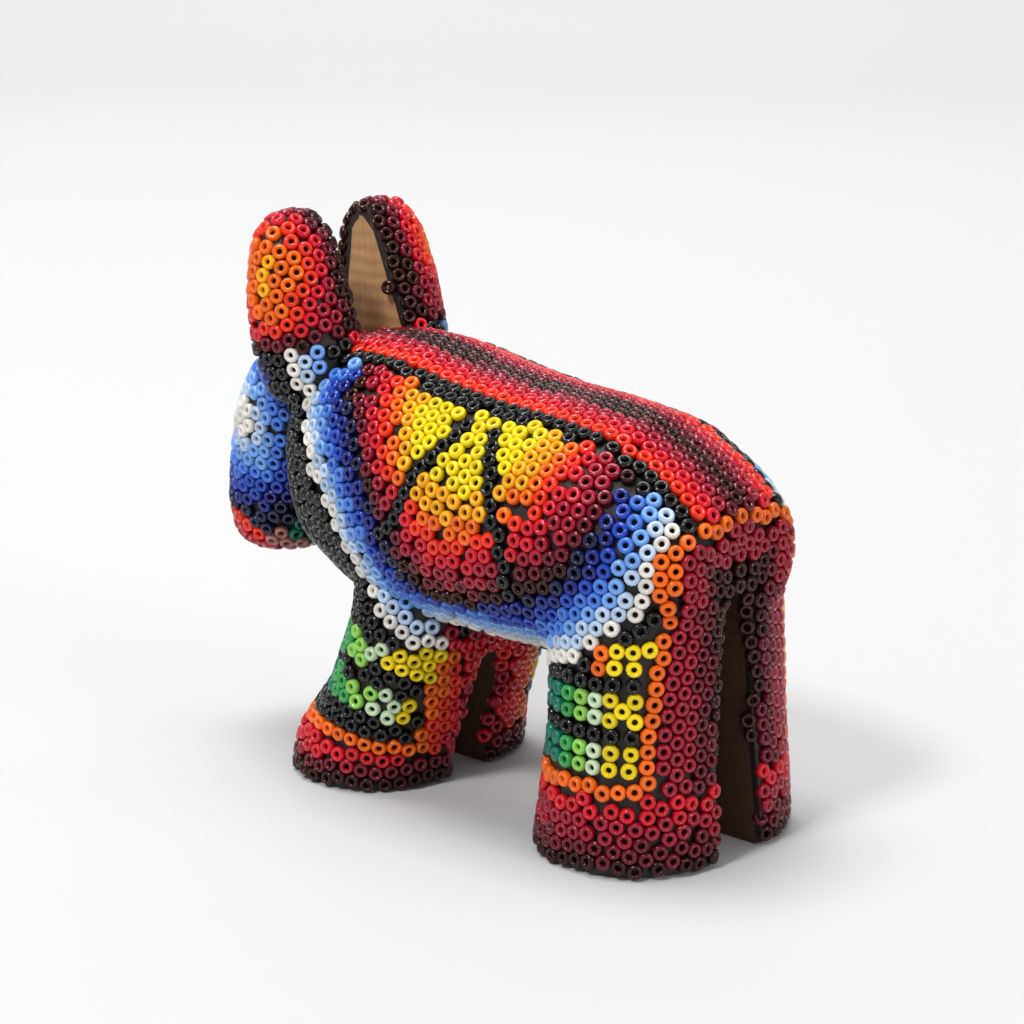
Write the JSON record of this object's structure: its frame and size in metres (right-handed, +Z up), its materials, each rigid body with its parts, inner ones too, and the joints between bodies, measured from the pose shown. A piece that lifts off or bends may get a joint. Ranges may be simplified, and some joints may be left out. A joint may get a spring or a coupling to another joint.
{
  "type": "beaded donkey figure",
  "caption": "Small standing donkey carved from wood, coated with beeswax and covered in rows of glass seed beads with a sunburst on each flank.",
  "frame": {"origin": "middle of the box round the hoof soles, on the surface it stands on", "axes": "+Z up, the donkey faces -Y, its left side is +X"},
  "size_m": [0.0358, 0.0868, 0.0734],
  "materials": {
    "black_glass": "glossy opaque glass seed beads",
    "maroon_glass": "glossy opaque glass seed beads",
    "red_glass": "glossy opaque glass seed beads",
    "dark_glass": "glossy opaque glass seed beads",
    "light_blue_glass": "glossy opaque glass seed beads",
    "navy_glass": "glossy opaque glass seed beads",
    "blue_glass": "glossy opaque glass seed beads",
    "white_glass": "glossy opaque glass seed beads",
    "orange_glass": "glossy opaque glass seed beads",
    "green_glass": "glossy opaque glass seed beads",
    "yellow_glass": "glossy opaque glass seed beads",
    "beeswax": "dark beeswax, satin",
    "carved_wood": "bare sawn softwood"
  },
  "bodies": {
    "root": {"back_line_left": "black_glass", "back_line_right": "black_glass", "back_maroon": "maroon_glass", "back_red": "red_glass", "back_ridge": "dark_glass", "belly_ground": "black_glass", "border_light_left": "light_blue_glass", "border_light_right": "light_blue_glass", "border_navy_left": "navy_glass", "border_navy_right": "navy_glass", "border_royal_left": "blue_glass", "border_royal_right": "blue_glass", "border_white_left": "white_glass", "border_white_right": "white_glass", "cheek_left": "blue_glass", "cheek_right": "blue_glass", "chest_ground": "black_glass", "ear_field_left": "red_glass", "ear_field_right": "red_glass", "ear_rims": "maroon_glass", "ear_spot_left": "orange_glass", "ear_spot_right": "orange_glass", "eye_left": "white_glass", "eye_right": "white_glass", "face_stripe": "black_glass", "front_blocks_left": "green_glass", "front_blocks_right": "green_glass", "front_hooves_red": "red_glass", "front_leg_backs": "red_glass", "front_piping_left": "orange_glass", "front_piping_right": "orange_glass", "hooves_dark": "maroon_glass", "inner_thigh_ground": "black_glass", "muzzle": "red_glass", "neck_ground_left": "black_glass", "neck_ground_right": "black_glass", "rear_blocks_left": "green_glass", "rear_blocks_right": "green_glass", "rear_face_maroon": "maroon_glass", "rear_face_red": "red_glass", "rear_hooves_red": "red_glass", "rear_piping_left": "orange_glass", "rear_piping_right": "orange_glass", "sunburst_lines_left": "black_glass", "sunburst_lines_right": "black_glass", "sunburst_maroon_left": "maroon_glass", "sunburst_maroon_right": "maroon_glass", "sunburst_orange_left": "orange_glass", "sunburst_orange_right": "orange_glass", "sunburst_red_left": "red_glass", "sunburst_red_right": "red_glass", "sunburst_yellow_left": "yellow_glass", "sunburst_yellow_right": "yellow_glass", "thigh_ground_left": "black_glass", "thigh_ground_right": "black_glass", "throat": "green_glass", "wax_coat": "beeswax", "wood_core": "carved_wood"}
  },
  "joints": []
}
